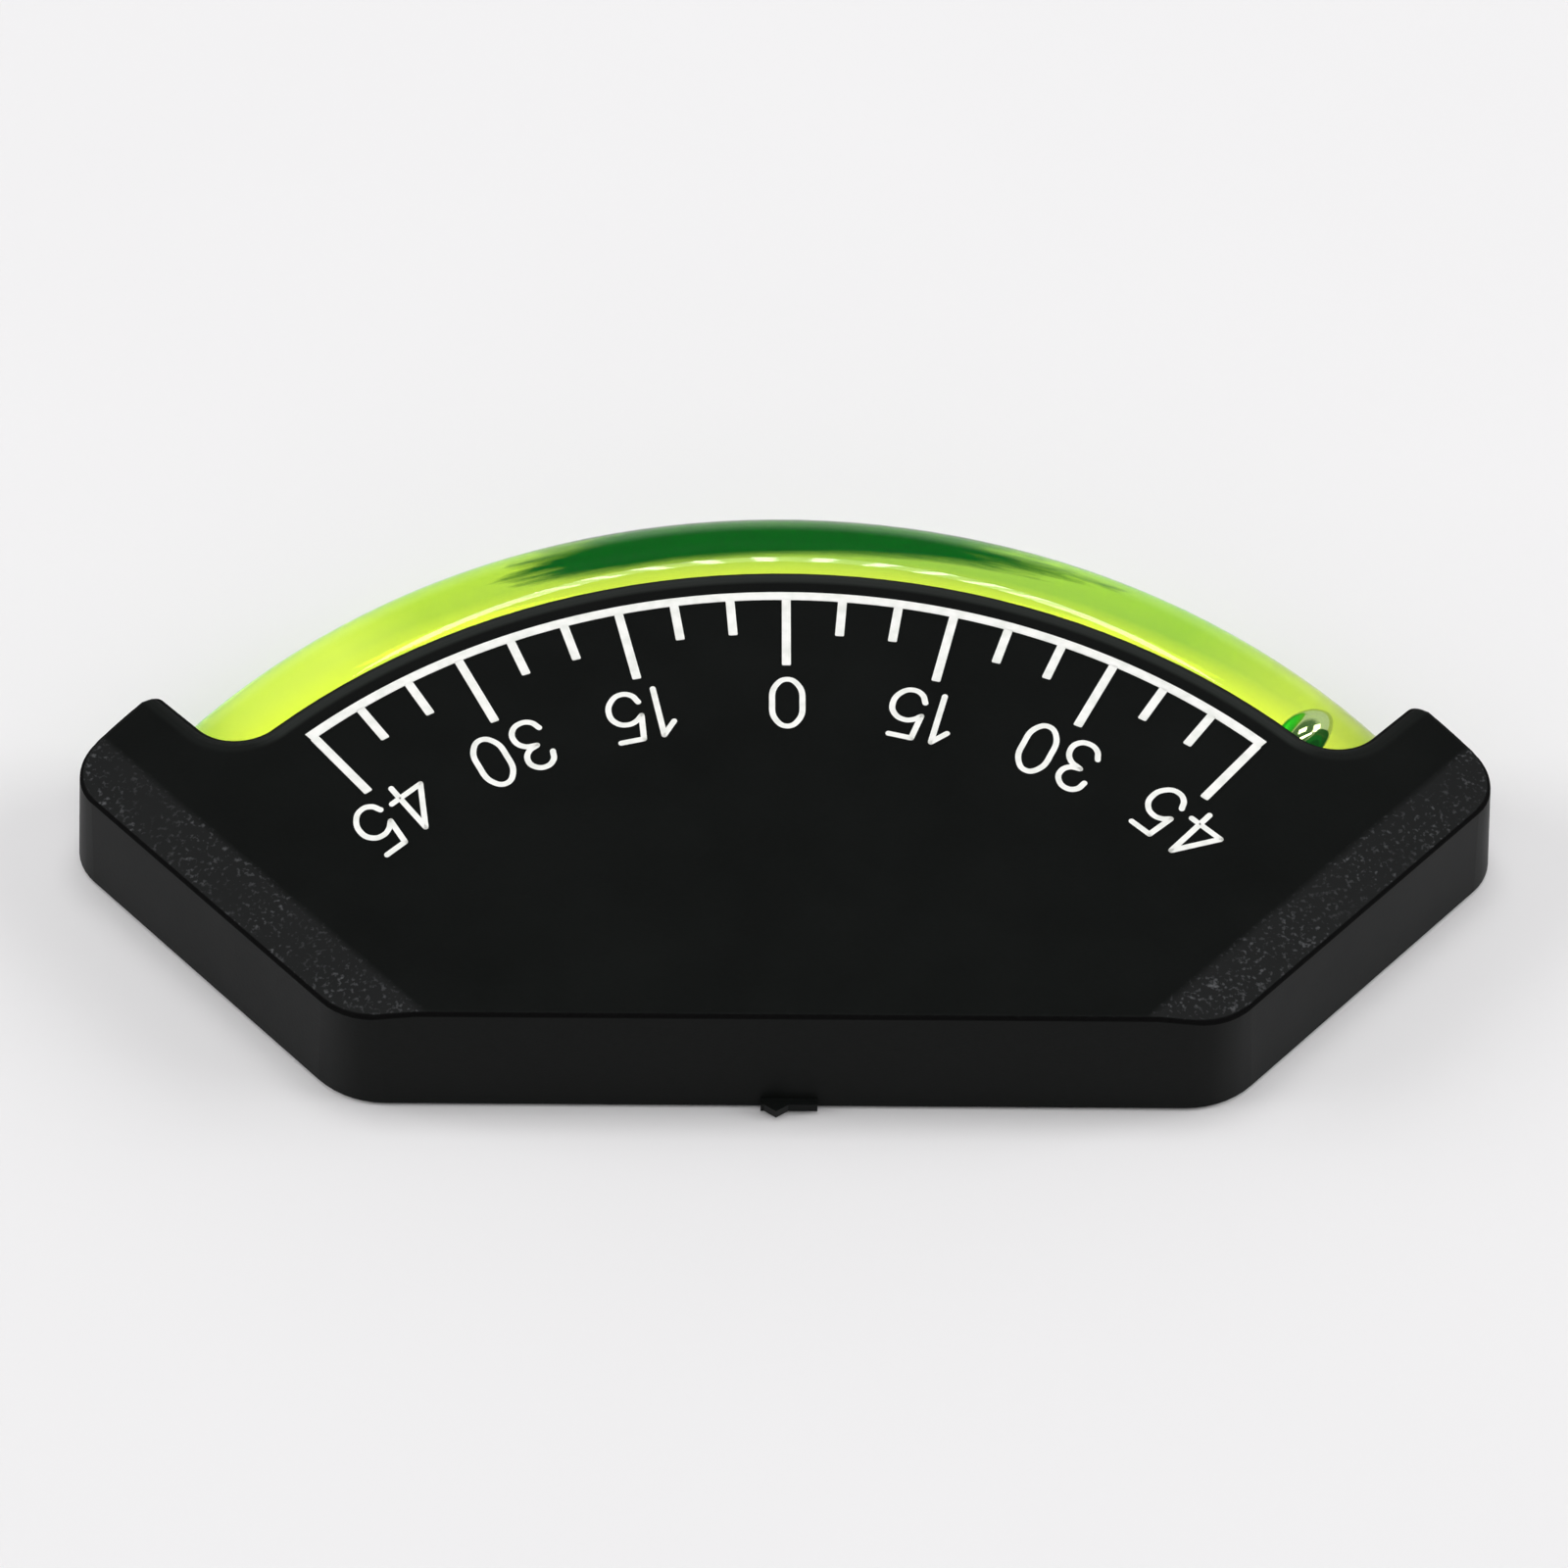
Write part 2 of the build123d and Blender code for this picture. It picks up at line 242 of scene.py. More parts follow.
def grained_black_abs(settings):
    """Black ABS, injection moulded in a spark-eroded tool: satin, finely grained and nearly without shine. The two
    sloping bands are paler and coarser, with painted glints on their specks in patches of 5 mm. Painted light makes the
    left and right sides a little paler, painted shade darkens the broken edges, and a painted highlight runs along the
    lip and faintly up the horns."""
    material, tree = new_material("black_abs_grained")
    place = add_node(tree, "ShaderNodeTexCoord", output="Object")
    coat, rough, relief = moulded_surface(tree, place, settings.face_colour)

    # Places are measured on the face from the centre of the scale's arc, the same on both sides of 0
    off = add_node(tree, "ShaderNodeVectorMath", {"operation": "SUBTRACT", 1: ARC_CENTER}, {0: place})
    parts = add_node(tree, "ShaderNodeSeparateXYZ", links={"Vector": off}).node.outputs
    aside = add_node(tree, "ShaderNodeMath", {"operation": "ABSOLUTE"}, {0: parts["X"]})
    flat = add_node(tree, "ShaderNodeCombineXYZ", links={"X": aside, "Y": parts["Y"]})
    normal = add_node(tree, "ShaderNodeNewGeometry", output="Normal")
    normal = add_node(tree, "ShaderNodeSeparateXYZ", links={"Vector": normal}).node.outputs
    up = normal["Z"]

    # How far in from the edge of the lip, or of a horn's inner side, and round the notch between the two
    notch = settings.notch_radius
    distance = add_node(tree, "ShaderNodeVectorMath", {"operation": "LENGTH"}, {0: flat}, "Value")
    lip = add_node(tree, "ShaderNodeMath", {"operation": "SUBTRACT", 0: settings.lip_radius + notch}, {1: distance})
    lip = add_node(tree, "ShaderNodeMath", {"operation": "MAXIMUM", 1: 0.0}, {0: lip})
    side = (math.cos(settings.horn_turn), -math.sin(settings.horn_turn), 0)
    horn = add_node(tree, "ShaderNodeVectorMath", {"operation": "DOT_PRODUCT", 1: side}, {0: flat}, "Value")
    horn = add_node(tree, "ShaderNodeMath", {"operation": "SUBTRACT", 1: settings.horn_offset - notch}, {0: horn})
    horn = add_node(tree, "ShaderNodeMath", {"operation": "MAXIMUM", 1: 0.0}, {0: horn})
    inwards = add_node(tree, "ShaderNodeCombineXYZ", links={"X": lip, "Y": horn})
    inwards = add_node(tree, "ShaderNodeVectorMath", {"operation": "LENGTH"}, {0: inwards}, "Value")
    inwards = add_node(tree, "ShaderNodeMath", {"operation": "SUBTRACT", 1: notch}, {0: inwards})

    # The bands, with painted glints on their specks in patches of 5 mm
    slant = (math.sqrt(0.5), -math.sqrt(0.5), 0)
    reach = add_node(tree, "ShaderNodeVectorMath", {"operation": "DOT_PRODUCT", 1: slant}, {0: flat}, "Value")
    start = settings.band_start
    band = add_node(tree, "ShaderNodeMapRange", rising(start - 0.1 * MM, start + 0.45 * MM), {"Value": reach})
    top = add_node(tree, "ShaderNodeMapRange", rising(0.9, 0.97), {"Value": up})
    band = add_node(tree, "ShaderNodeMath", {"operation": "MULTIPLY"}, {0: band, 1: top})
    specks = add_node(tree, "ShaderNodeTexNoise", {"Scale": 1 / settings.speck_size, "Detail": 2}, {"Vector": place})
    specks = add_node(tree, "ShaderNodeMapRange", rising(0.56, 0.78), {"Value": specks})
    patches = add_node(
        tree, "ShaderNodeTexNoise", {"Scale": 1 / (5 * MM), "Detail": 2, "Roughness": 0.6}, {"Vector": place}
    )
    patches = add_node(tree, "ShaderNodeMapRange", rising(0.3, 0.65), {"Value": patches})
    specks = add_node(tree, "ShaderNodeMath", {"operation": "MULTIPLY"}, {0: specks, 1: patches})
    band_with_glints = {"data_type": "RGBA", 6: settings.band_colour, 7: settings.speck_colour}
    band_with_glints = add_node(tree, "ShaderNodeMix", band_with_glints, {0: specks}, 2)
    colour = add_node(tree, "ShaderNodeMix", {"data_type": "RGBA"}, {0: band, 6: coat, 7: band_with_glints}, 2)

    # Painted light: the sides that face left and right are paler
    turned = add_node(tree, "ShaderNodeMath", {"operation": "ABSOLUTE"}, {0: normal["X"]})
    turned = add_node(tree, "ShaderNodeMapRange", rising(0.25, 0.6), {"Value": turned})
    upright = add_node(tree, "ShaderNodeMapRange", falling(0.1, 0.3), {"Value": up})
    turned = add_node(tree, "ShaderNodeMath", {"operation": "MULTIPLY"}, {0: turned, 1: upright})

    # A painted highlight runs from 0.7 to 1.5 mm in from the edge, and is down to a quarter 2.5 mm up each horn
    line = add_node(tree, "ShaderNodeMapRange", rising(0.55 * MM, 0.85 * MM), {"Value": inwards})
    beyond = add_node(tree, "ShaderNodeMapRange", falling(1.3 * MM, 1.65 * MM), {"Value": inwards})
    fading = {"From Min": 0.0, "From Max": 2.5 * MM, "To Min": 1.0, "To Max": 0.25}
    fading = add_node(tree, "ShaderNodeMapRange", fading, {"Value": horn})
    for share in (beyond, top, fading):
        line = add_node(tree, "ShaderNodeMath", {"operation": "MULTIPLY"}, {0: line, 1: share})

    # Painted shade darkens the broken edges where they turn down, on both sides of that line but not under it
    edge = add_node(tree, "ShaderNodeMapRange", rising(0.15, 0.35), {"Value": up})
    below = add_node(tree, "ShaderNodeMapRange", falling(0.9, 0.975), {"Value": up})
    away = add_node(tree, "ShaderNodeMapRange", rising(1.4 * MM, 1.7 * MM), {"Value": inwards})
    rim = add_node(tree, "ShaderNodeMapRange", falling(0.35 * MM, 0.55 * MM), {"Value": inwards})
    away = add_node(tree, "ShaderNodeMath", {"operation": "MAXIMUM"}, {0: away, 1: rim})
    for share in (below, away):
        edge = add_node(tree, "ShaderNodeMath", {"operation": "MULTIPLY"}, {0: edge, 1: share})

    # Painted light on the sides, a painted highlight along the lip and painted shade on the broken edges
    layers = ((turned, settings.side_light_colour), (line, settings.lip_highlight_colour), (edge, settings.edge_shade_colour))
    for mask, tint in layers:
        colour = add_node(tree, "ShaderNodeMix", {"data_type": "RGBA", 7: tint}, {0: mask, 6: colour}, 2)
    rough = add_node(tree, "ShaderNodeMix", {3: 0.95}, {0: edge, 2: rough})

    shader = add_node(
        tree,
        "ShaderNodeBsdfPrincipled",
        {"Specular IOR Level": 0.08, "IOR": 1.5},
        {"Base Color": colour, "Roughness": rough, "Normal": relief},
    )
    add_node(tree, "ShaderNodeOutputMaterial", links={"Surface": shader})
    return material


class ClinometerHousing(bpy.types.PropertyGroup):
    """The black mouldings."""

    band_start: FloatProperty(
        name="Band start",
        description="Distance of the sloping bands from the centre of the scale's arc, square to the slanted edge",
        default=11.07 * MM,
        unit="LENGTH",
    )
    lip_radius: FloatProperty(
        name="Lip radius", description="Of the lip's edge about the scale's arc", default=54.6 * MM, unit="LENGTH"
    )
    horn_turn: FloatProperty(
        name="Horn turn",
        description="How the inner side of each horn is turned out from straight ahead",
        default=math.radians(46.2),
        subtype="ANGLE",
    )
    horn_offset: FloatProperty(
        name="Horn offset",
        description="How far that side passes from the centre of the scale's arc",
        default=3.98 * MM,
        unit="LENGTH",
    )
    notch_radius: FloatProperty(
        name="Notch radius", description="Where the lip turns into a horn", default=4.0 * MM, unit="LENGTH"
    )
    speck_size: FloatProperty(
        name="Speck size", description="Width of the specks on the sloping bands", default=0.36 * MM, unit="LENGTH"
    )
    face_colour: FloatVectorProperty(
        name="Housing colour", description="Of the black housing", default=linear("#0A0C0B"), size=4, subtype="COLOR"
    )
    band_colour: FloatVectorProperty(
        name="Band colour", description="Of the sloping bands", default=linear("#1B1C1C"), size=4, subtype="COLOR"
    )
    # The specks' paler colour is painted glints
    speck_colour: FloatVectorProperty(
        name="Speck colour", description="Of the bands' specks", default=linear("#5A5B5D"), size=4, subtype="COLOR"
    )
    # The lip's highlight is painted light
    lip_highlight_colour: FloatVectorProperty(
        name="Lip highlight colour", description="Of the highlight painted along the lip", default=linear("#262927"), size=4, subtype="COLOR"
    )
    # The sides' paler colour is painted light
    side_light_colour: FloatVectorProperty(
        name="Side light colour", description="Left and right of the face", default=linear("#191A1A"), size=4, subtype="COLOR"
    )
    # Painted shade on the broken edges
    edge_shade_colour: FloatVectorProperty(
        name="Edge shade colour", description="Of the broken edges", default=linear("#030303"), size=4, subtype="COLOR"
    )
    cover_colour: FloatVectorProperty(
        name="Cover colour", description="Of the back cover", default=linear("#121313"), size=4, subtype="COLOR"
    )


class CLINOMETER_OT_housing(bpy.types.Operator):
    """Dress the housing and the back cover as moulded black plastic"""

    bl_idname = "clinometer.housing"
    bl_label = "Housing and cover"

    def execute(self, context):
        settings = context.scene.clinometer_housing
        dress(frame["nodes"]["housing"], grained_black_abs(settings))
        dress(frame["nodes"]["back_cover"], satin_black_abs(settings))
        return {"FINISHED"}


# Tube, liquid and stoppers


def tube_place(tree):
    """Where a point lies about the bent tube's middle line: how far outside it, how far above it, and at which
    heading round the bend."""
    place = add_node(tree, "ShaderNodeTexCoord", output="Object")
    off = add_node(tree, "ShaderNodeVectorMath", {"operation": "SUBTRACT", 1: TUBE_CENTER}, {0: place})
    parts = add_node(tree, "ShaderNodeSeparateXYZ", links={"Vector": off}).node.outputs
    flat = add_node(tree, "ShaderNodeCombineXYZ", links={"X": parts["X"], "Y": parts["Y"]})
    reach = add_node(tree, "ShaderNodeVectorMath", {"operation": "LENGTH"}, {0: flat}, "Value")
    side = add_node(tree, "ShaderNodeMath", {"operation": "SUBTRACT", 1: BEND_RADIUS}, {0: reach})
    heading = add_node(tree, "ShaderNodeMath", {"operation": "ARCTAN2"}, {0: parts["X"], 1: parts["Y"]})
    return side, parts["Z"], heading


def let_light_through(tree, shader, colour):
    """The shader, with its shadow let through in one colour, as the bent tube gathers light under it."""
    shadow = add_node(tree, "ShaderNodeLightPath", output="Is Shadow Ray")
    passed = add_node(tree, "ShaderNodeBsdfTransparent", {"Color": linear(colour)})
    return add_node(tree, "ShaderNodeMixShader", links={0: shadow, 1: shader, 2: passed})


def clear_acrylic(settings):
    """Clear acrylic tube, extruded and bent warm: it bends what is behind it, has the faintest waves from the
    bending, and its bore can't be seen, because the liquid wets it and has nearly the same index."""
    material, tree = new_material("clear_acrylic_tube")
    side, height, heading = tube_place(tree)
    square = add_node(tree, "ShaderNodeMath", {"operation": "MULTIPLY"}, {0: side, 1: side})
    square = add_node(tree, "ShaderNodeMath", {"operation": "MULTIPLY_ADD"}, {0: height, 1: height, 2: square})
    middle = (settings.bore_radius + TUBE_RADIUS) / 2
    outside = add_node(tree, "ShaderNodeMath", {"operation": "GREATER_THAN", 1: middle**2}, {0: square})
    around = add_node(tree, "ShaderNodeCombineXYZ", links={"X": heading})
    waves = add_node(tree, "ShaderNodeTexNoise", {"Scale": 1 / settings.wave_turn, "Detail": 1}, {"Vector": around})

    # A true round's normal on the outside, so that the highlight runs smoothly over the mesh's facets, turned over
    # where the light comes from within
    flat = [add_node(tree, "ShaderNodeMath", {"operation": way}, {0: heading}) for way in ("SINE", "COSINE")]
    flat = [add_node(tree, "ShaderNodeMath", {"operation": "MULTIPLY"}, {0: way, 1: side}) for way in flat]
    round_normal = add_node(tree, "ShaderNodeCombineXYZ", links={"X": flat[0], "Y": flat[1], "Z": height})
    surface = add_node(tree, "ShaderNodeNewGeometry").node.outputs
    facing = add_node(
        tree, "ShaderNodeMath", {"operation": "MULTIPLY_ADD", 1: -2.0, 2: 1.0}, {0: surface["Backfacing"]}
    )
    round_normal = add_node(tree, "ShaderNodeVectorMath", {"operation": "SCALE"}, {0: round_normal, "Scale": facing})
    round_normal = add_node(tree, "ShaderNodeVectorMath", {"operation": "NORMALIZE"}, {0: round_normal})
    skin = add_node(tree, "ShaderNodeMath", {"operation": "GREATER_THAN", 1: (0.98 * TUBE_RADIUS) ** 2}, {0: square})
    normal = add_node(
        tree, "ShaderNodeMix", {"data_type": "VECTOR"}, {0: skin, 4: surface["Normal"], 5: round_normal}, 1
    )
    relief = add_node(
        tree, "ShaderNodeBump", {"Strength": 0.012, "Distance": 0.1 * MM}, {"Height": waves, "Normal": normal}
    )
    glass = add_node(
        tree,
        "ShaderNodeBsdfPrincipled",
        {"Base Color": linear("#FCFFF6"), "Transmission Weight": 1.0, "IOR": 1.46, "Roughness": 0.03},
        {"Normal": relief},
    )
    clear = add_node(tree, "ShaderNodeBsdfTransparent", {"Color": (1, 1, 1, 1)})
    wall = add_node(tree, "ShaderNodeMixShader", links={0: outside, 1: clear, 2: glass})
    add_node(tree, "ShaderNodeOutputMaterial", links={"Surface": let_light_through(tree, wall, "#F8FBF2")})
    return material


def dyed_oil(settings):
    """Yellow-green dyed damping oil: clear, tinting what is behind it, with a faint painted glow. Painted light makes
    it paler at the ends and brighter near the lip, where the tube gathers light. In the middle of the bend painted
    shade makes its far lower side deep green, olive towards the top, with streaky ends."""
    material, tree = new_material("yellow_green_oil")
    side, height, heading = tube_place(tree)
    turn = add_node(tree, "ShaderNodeMath", {"operation": "ARCTAN2"}, {0: height, 1: side})

    # Streaks run along the tube
    streaks = add_node(tree, "ShaderNodeCombineXYZ", links={"X": heading, "Y": turn})
    beats = (BEND_RADIUS / settings.streak_length, settings.bore_radius / settings.streak_width, 1)
    streaks = add_node(tree, "ShaderNodeVectorMath", {"operation": "MULTIPLY", 1: beats}, {0: streaks})
    streaks = add_node(tree, "ShaderNodeTexNoise", {"Scale": 1.0, "Detail": 3, "Roughness": 0.62}, {"Vector": streaks})
    both_ways = {"From Min": 0.3, "From Max": 0.7, "To Min": -1.0, "To Max": 1.0}
    streaks = add_node(tree, "ShaderNodeMapRange", both_ways, {"Value": streaks})

    # The deep green, a painted shade, is an ellipse in heading and turn. It climbs and narrows to the right, its left
    # half is blunter, and the streaks pull its rim, most at its two ends
    climb, narrowing = 0.138, 0.53
    along = add_node(tree, "ShaderNodeMath", {"operation": "DIVIDE", 1: settings.deep_half}, {0: heading})
    along = add_node(tree, "ShaderNodeMath", {"operation": "POWER", 1: 2.0}, {0: along})
    blunt = add_node(tree, "ShaderNodeMath", {"operation": "POWER", 1: 2.0}, {0: along})
    left = add_node(tree, "ShaderNodeMath", {"operation": "LESS_THAN", 1: 0.0}, {0: heading})
    along = add_node(tree, "ShaderNodeMix", links={0: left, 2: along, 3: blunt})
    centre = add_node(
        tree, "ShaderNodeMath", {"operation": "MULTIPLY_ADD", 1: climb, 2: settings.deep_turn}, {0: heading}
    )
    half = settings.deep_width / 2
    wide = add_node(tree, "ShaderNodeMath", {"operation": "MULTIPLY_ADD", 1: -narrowing * half, 2: half}, {0: heading})
    across = add_node(tree, "ShaderNodeMath", {"operation": "SUBTRACT"}, {0: turn, 1: centre})
    across = add_node(tree, "ShaderNodeMath", {"operation": "DIVIDE"}, {0: across, 1: wide})
    rim = add_node(tree, "ShaderNodeMath", {"operation": "MULTIPLY_ADD"}, {0: across, 1: across, 2: along})
    pull = add_node(tree, "ShaderNodeMath", {"operation": "MULTIPLY_ADD", 1: 0.3, 2: 0.1}, {0: along})
    rim = add_node(tree, "ShaderNodeMath", {"operation": "MULTIPLY_ADD"}, {0: streaks, 1: pull, 2: rim})
    deep = add_node(tree, "ShaderNodeMapRange", falling(0.55, 1.45), {"Value": rim})

    # The painted olive shade lies above it, up to the far edge
    away = add_node(tree, "ShaderNodeMath", {"operation": "ABSOLUTE"}, {0: heading})
    away = add_node(tree, "ShaderNodeMath", {"operation": "MULTIPLY_ADD", 1: 0.06}, {0: streaks, 2: away})
    olive = add_node(
        tree, "ShaderNodeMapRange", falling(settings.deep_half - 0.16, settings.deep_half), {"Value": away}
    )
    over = add_node(tree, "ShaderNodeMapRange", rising(settings.deep_turn, settings.deep_turn + 0.15), {"Value": turn})
    under = add_node(tree, "ShaderNodeMapRange", falling(0.5, 0.6), {"Value": turn})
    for share in (over, under):
        olive = add_node(tree, "ShaderNodeMath", {"operation": "MULTIPLY"}, {0: olive, 1: share})

    # Painted light: only the lower half is bright near the lip
    lower = add_node(tree, "ShaderNodeMapRange", falling(-0.01 * MM, 0.01 * MM), {"Value": height})
    near = add_node(tree, "ShaderNodeMapRange", falling(-1.02, -0.66), {"Value": turn})
    near = add_node(tree, "ShaderNodeMath", {"operation": "MULTIPLY"}, {0: near, 1: lower})

    # The lower half's tints, placed from a heading of -1 radian, near the left stopper, to one of 1 radian. They carry
    # painted light, paler towards both ends than in the middle
    share = add_node(tree, "ShaderNodeMapRange", rising(-1.0, 1.0), {"Value": heading})
    tints = [
        (0.07, settings.left_end_colour),
        (0.16, paler(settings.left_end_colour, 0.97)),
        (0.23, settings.left_colour),
        (0.575, settings.liquid_colour),
        (0.8, settings.liquid_colour),
        (0.935, settings.right_end_colour),
    ]
    colour = add_node(tree, "ShaderNodeValToRGB", {"stops": tints}, {"Fac": share})
    colour = add_node(tree, "ShaderNodeMix", {"data_type": "RGBA", 6: settings.upper_colour}, {0: lower, 7: colour}, 2)
    for mask, tint in ((near, settings.near_light_colour), (olive, settings.olive_shade_colour), (deep, settings.deep_shade_colour)):
        colour = add_node(tree, "ShaderNodeMix", {"data_type": "RGBA", 7: tint}, {0: mask, 6: colour}, 2)
    # Painted glows: stronger near the lip, more so right of the middle, and deep green in the painted shade
    gathered = [(0.56, paler(settings.near_painted_glow, 0.65)), (0.68, settings.near_painted_glow)]
    gathered = add_node(tree, "ShaderNodeValToRGB", {"stops": gathered}, {"Fac": share})
    glow = add_node(tree, "ShaderNodeMix", {"data_type": "RGBA", 6: settings.glow}, {0: near, 7: gathered}, 2)
    glow = add_node(tree, "ShaderNodeMix", {"data_type": "RGBA", 7: settings.deep_shade_glow}, {0: deep, 6: glow}, 2)

    # Reflected rays pass the upper half untinted, so that the ball's glint stays white. Seen in a reflection, the
    # liquid away from the right end gives off a painted green glow: a painted reflection on the ball's left
    mirrored = add_node(tree, "ShaderNodeLightPath", output="Is Reflection Ray")
    short = add_node(tree, "ShaderNodeMath", {"operation": "GREATER_THAN", 1: 0.0}, {0: height})
    short = add_node(tree, "ShaderNodeMath", {"operation": "MULTIPLY"}, {0: short, 1: mirrored})
    colour = add_node(tree, "ShaderNodeMix", {"data_type": "RGBA", 7: (1, 1, 1, 1)}, {0: short, 6: colour}, 2)
    ball_reflection_share = add_node(tree, "ShaderNodeMapRange", falling(0.6, 0.74), {"Value": heading})
    mirrored = add_node(tree, "ShaderNodeMath", {"operation": "MULTIPLY"}, {0: mirrored, 1: ball_reflection_share})
    glow = add_node(tree, "ShaderNodeMix", {"data_type": "RGBA", 7: settings.ball_reflection_glow}, {0: mirrored, 6: glow}, 2)

    tint = add_node(tree, "ShaderNodeBsdfTransparent", links={"Color": colour})
    shine = add_node(tree, "ShaderNodeEmission", {"Strength": 1.0}, {"Color": glow})
    seen = add_node(tree, "ShaderNodeAddShader", links={0: tint, 1: shine})
    add_node(tree, "ShaderNodeOutputMaterial", links={"Surface": let_light_through(tree, seen, "#3CB45A")})
    return material


def rubber_stopper():
    """Black rubber, moulded: matt, with a faint bloom in patches of 1.5 mm and a grain of 0.15 mm."""
    colours = [(0.0, linear("#141414")), (1.0, linear("#2A2A29"))]
    finish = {"Roughness": 0.75, "Specular IOR Level": 0.3}
    return mottled("black_rubber", colours, 1.5 * MM, 0.15 * MM, (0.2, 0.03 * MM), finish)


class ClinometerTube(bpy.types.PropertyGroup):
    """The tube and what is in it."""

    bore_radius: FloatProperty(
        name="Bore radius", description="Inside radius of the tube", default=2.7 * MM, unit="LENGTH"
    )
    film: FloatProperty(
        name="Wall gap",
        description="How far the liquid's surface stands inside the bore",
        default=0.02 * MM,
        unit="LENGTH",
    )
    liquid_end: FloatProperty(
        name="Liquid end",
        description="Heading of each stopper's inner face about the tube's own centre",
        default=math.radians(56.2),
        subtype="ANGLE",
    )
    wave_turn: FloatProperty(
        name="Wave length",
        description="Of the faint waves that bending left along the tube",
        default=math.radians(1.7),
        subtype="ANGLE",
    )
    streak_length: FloatProperty(
        name="Streak length", description="Of the streaks at the deep green's rim", default=6.8 * MM, unit="LENGTH"
    )
    streak_width: FloatProperty(
        name="Streak width", description="Of those streaks", default=0.19286 * MM, unit="LENGTH"
    )
    # The deep green and the olive over it are painted shade
    deep_half: FloatProperty(
        name="Deep green reach",
        description="How far the deep green reaches on each side of 0",
        default=math.radians(22.5),
        subtype="ANGLE",
    )
    deep_turn: FloatProperty(
        name="Deep green turn",
        description="Its middle, as an angle round the tube from its far side, upwards",
        default=math.radians(-24.6),
        subtype="ANGLE",
    )
    deep_width: FloatProperty(
        name="Deep green width", description="Its angle round the tube", default=math.radians(25), subtype="ANGLE"
    )
    upper_colour: FloatVectorProperty(
        name="Upper tint", description="Of the liquid's upper half", default=linear("#F3FDB3"), size=4, subtype="COLOR"
    )
    # The lower half's tints hold painted light, paler towards both ends than in the middle
    left_end_colour: FloatVectorProperty(
        name="Left end tint", description="Of the lower half there", default=linear("#FBF8A4"), size=4, subtype="COLOR"
    )
    left_colour: FloatVectorProperty(
        name="Left tint", description="Of the lower half there", default=linear("#D3DC7C"), size=4, subtype="COLOR"
    )
    liquid_colour: FloatVectorProperty(
        name="Liquid tint", description="Of the lower half", default=linear("#BACF7F"), size=4, subtype="COLOR"
    )
    right_end_colour: FloatVectorProperty(
        name="Right end tint", description="Of the lower half there", default=linear("#F0EE9B"), size=4, subtype="COLOR"
    )
    # Painted light near the lip
    near_light_colour: FloatVectorProperty(
        name="Near tint", description="Of the lower half at the lip", default=linear("#FBFA86"), size=4, subtype="COLOR"
    )
    # The olive and deep tints are painted shade
    olive_shade_colour: FloatVectorProperty(
        name="Olive tint", description="Above the deep green", default=linear("#467627"), size=4, subtype="COLOR"
    )
    deep_shade_colour: FloatVectorProperty(
        name="Deep tint", description="Of the deep green", default=linear("#003D12"), size=4, subtype="COLOR"
    )
    # The glow, the near glow and the deep glow are painted light
    glow: FloatVectorProperty(
        name="Glow", description="Light that the liquid gives off", default=linear("#063A10"), size=4, subtype="COLOR"
    )
    near_painted_glow: FloatVectorProperty(
        name="Near glow", description="Its light near the lip", default=linear("#79730A"), size=4, subtype="COLOR"
    )
    deep_shade_glow: FloatVectorProperty(
        name="Deep glow", description="Light of the deep green", default=linear("#002E0C"), size=4, subtype="COLOR"
    )
    # A painted reflection on the ball's left
    ball_reflection_glow: FloatVectorProperty(
        name="Ball reflection glow", description="Light on the ball's left", default=linear("#27A027"), size=4, subtype="COLOR"
    )


class CLINOMETER_OT_tube(bpy.types.Operator):
    """Dress the tube and its stoppers, and fill the tube with liquid"""

    bl_idname = "clinometer.tube"
    bl_label = "Tube and liquid"

    def execute(self, context):
        settings = context.scene.clinometer_tube
        dress(frame["nodes"]["tube"], clear_acrylic(settings))
        stopper = rubber_stopper()
        dress(frame["nodes"]["end_plug_left"], stopper)
        dress(frame["nodes"]["end_plug_right"], stopper)

        # A round disc at the left stopper, spun round the bend to the right one
        heading = -settings.liquid_end
        start = TUBE_CENTER + BEND_RADIUS * Vector((math.sin(heading), math.cos(heading), 0))
        bpy.ops.mesh.primitive_circle_add(
            vertices=LIQUID_SIDES,
            radius=settings.bore_radius - settings.film,
            fill_type="NGON",
            location=start,
            rotation=(math.pi / 2, 0, math.pi / 2 - heading),
        )
        spin_round(LIQUID_STEPS, 2 * settings.liquid_end, TUBE_CENTER)
        liquid = joined("liquid", [context.active_object])
        dress(liquid, dyed_oil(settings))
        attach(liquid, "body")
        return {"FINISHED"}


# Ball


def bearing_steel():
    """Bearing steel, ground and lapped: a mirror, a little duller in patches of 0.8 mm."""
    material, tree = new_material("polished_bearing_steel")
    place = add_node(tree, "ShaderNodeTexCoord", output="Object")
    cloud = add_node(tree, "ShaderNodeTexNoise", {"Scale": 1 / (0.8 * MM), "Detail": 3}, {"Vector": place})
    rough = add_node(tree, "ShaderNodeMapRange", {"To Min": 0.04, "To Max": 0.1}, {"Value": cloud})
    shader = add_node(
        tree, "ShaderNodeBsdfPrincipled", {"Base Color": linear("#C4C7C9"), "Metallic": 1.0}, {"Roughness": rough}
    )
    add_node(tree, "ShaderNodeOutputMaterial", links={"Surface": shader})
    return material


class CLINOMETER_OT_ball(bpy.types.Operator):
    """Dress the ball as polished steel"""

    bl_idname = "clinometer.ball"
    bl_label = "Ball"

    def execute(self, context):
        dress(frame["nodes"]["ball"], bearing_steel())
        return {"FINISHED"}


# Printing


def pad_ink():
    """White pad-printing ink: nearly flat, faintly pitted over 0.3 mm, and thinner in mottles of 1.1 mm where the pad
    left less of it."""
    colours = [(0.25, linear("#E6E8E2")), (0.6, linear("#F9F9F5"))]
    finish = {"Roughness": 0.5, "Specular IOR Level": 0.3}
    return mottled("white_pad_ink", colours, 1.1 * MM, 0.3 * MM, (0.15, 0.01 * MM), finish)


